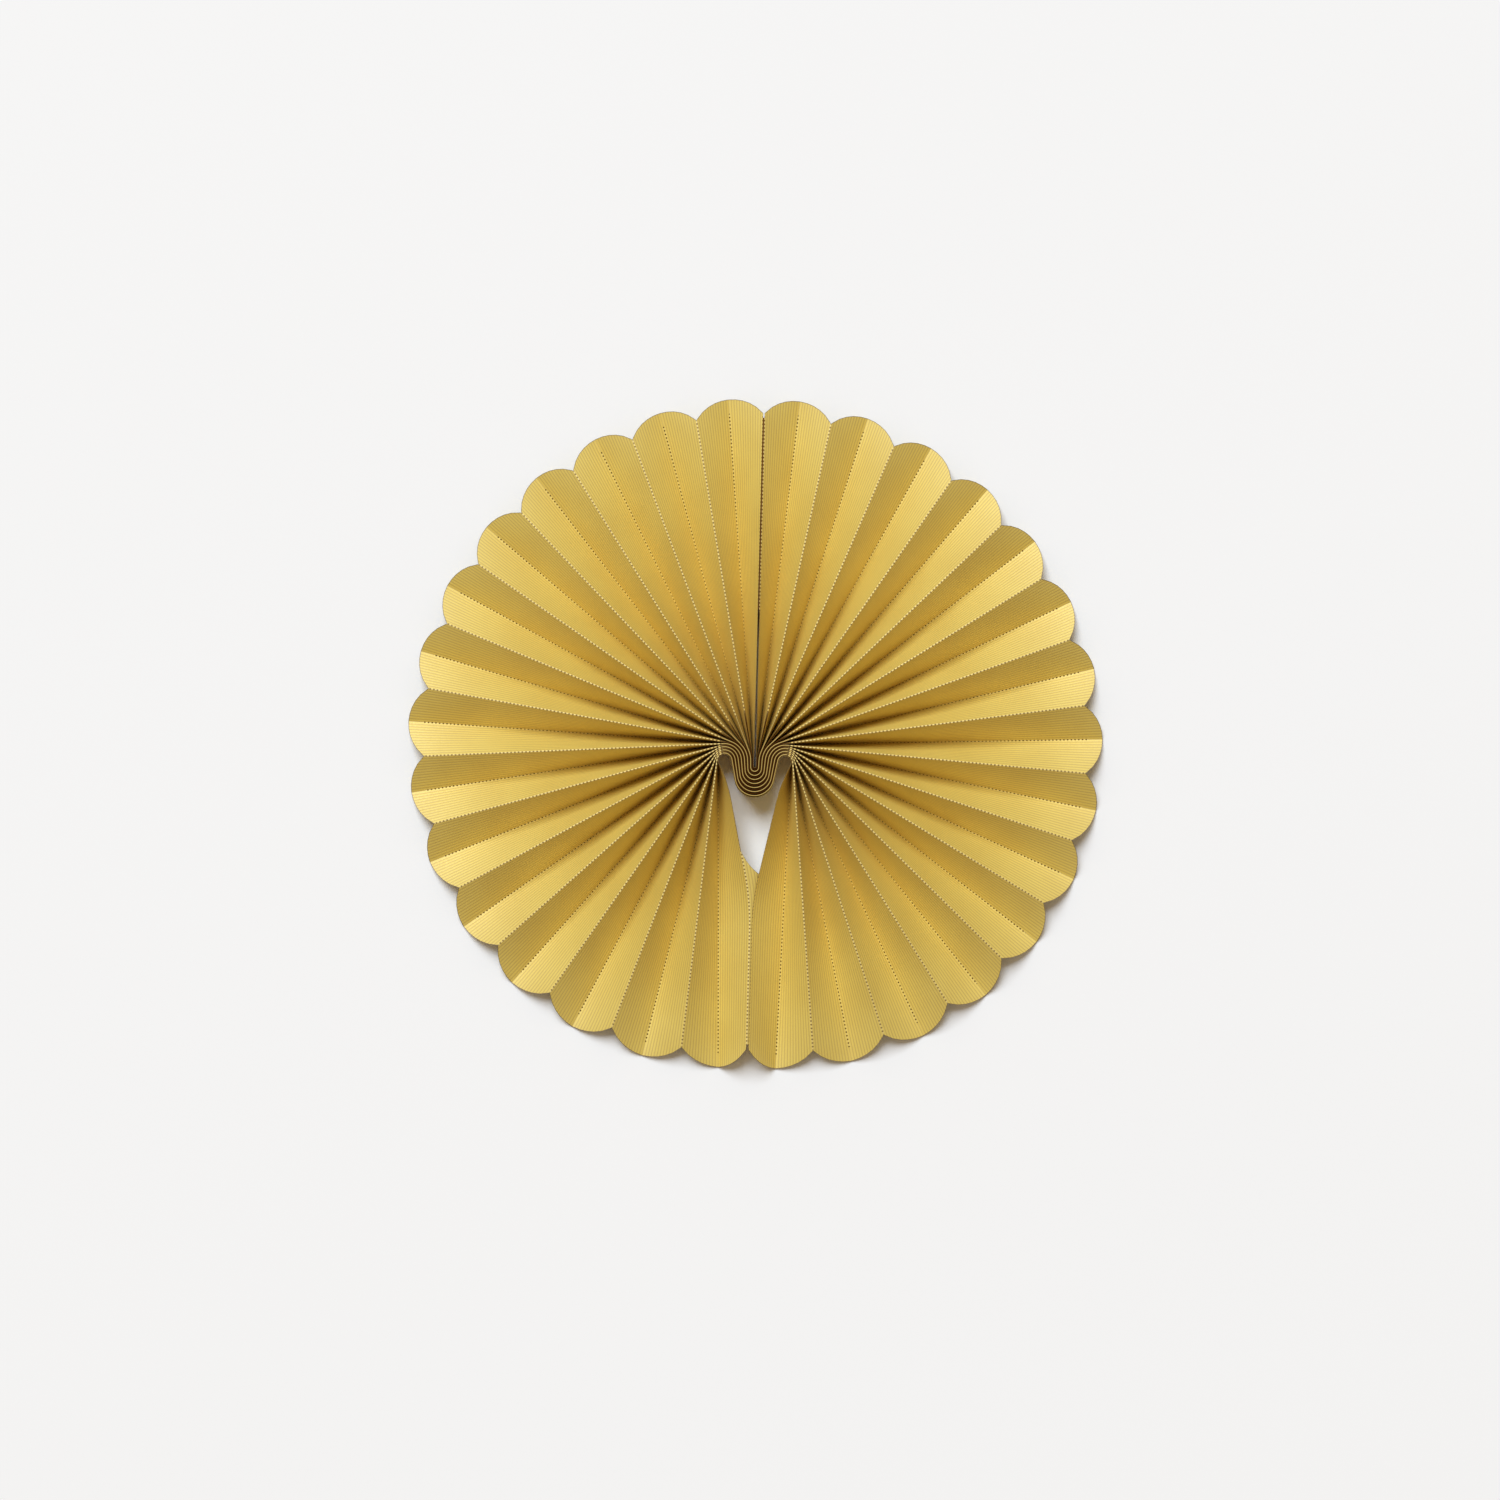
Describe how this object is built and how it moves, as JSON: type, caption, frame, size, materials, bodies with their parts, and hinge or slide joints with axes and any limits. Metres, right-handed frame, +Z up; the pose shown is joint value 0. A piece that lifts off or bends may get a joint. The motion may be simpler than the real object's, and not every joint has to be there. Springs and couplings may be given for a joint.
{
  "type": "pleated paper rosette",
  "caption": "Round paper flower of fan-folded ribbed sheet with scalloped rim, bent round a small stack of folds at its middle and glued along two seams.",
  "frame": {"origin": "under the middle of the flower's round outline, on the surface that it lies on", "axes": "+Z up, away from the surface; +Y along the seam of the innermost folds, -Y along the seam that closes the gap"},
  "size_m": [0.3034, 0.2919, 0.0175],
  "materials": {
    "gold_paper": "pearlescent gold, finely ribbed, satin"
  },
  "bodies": {
    "root": {"pleated_flower": "gold_paper"}
  },
  "joints": []
}
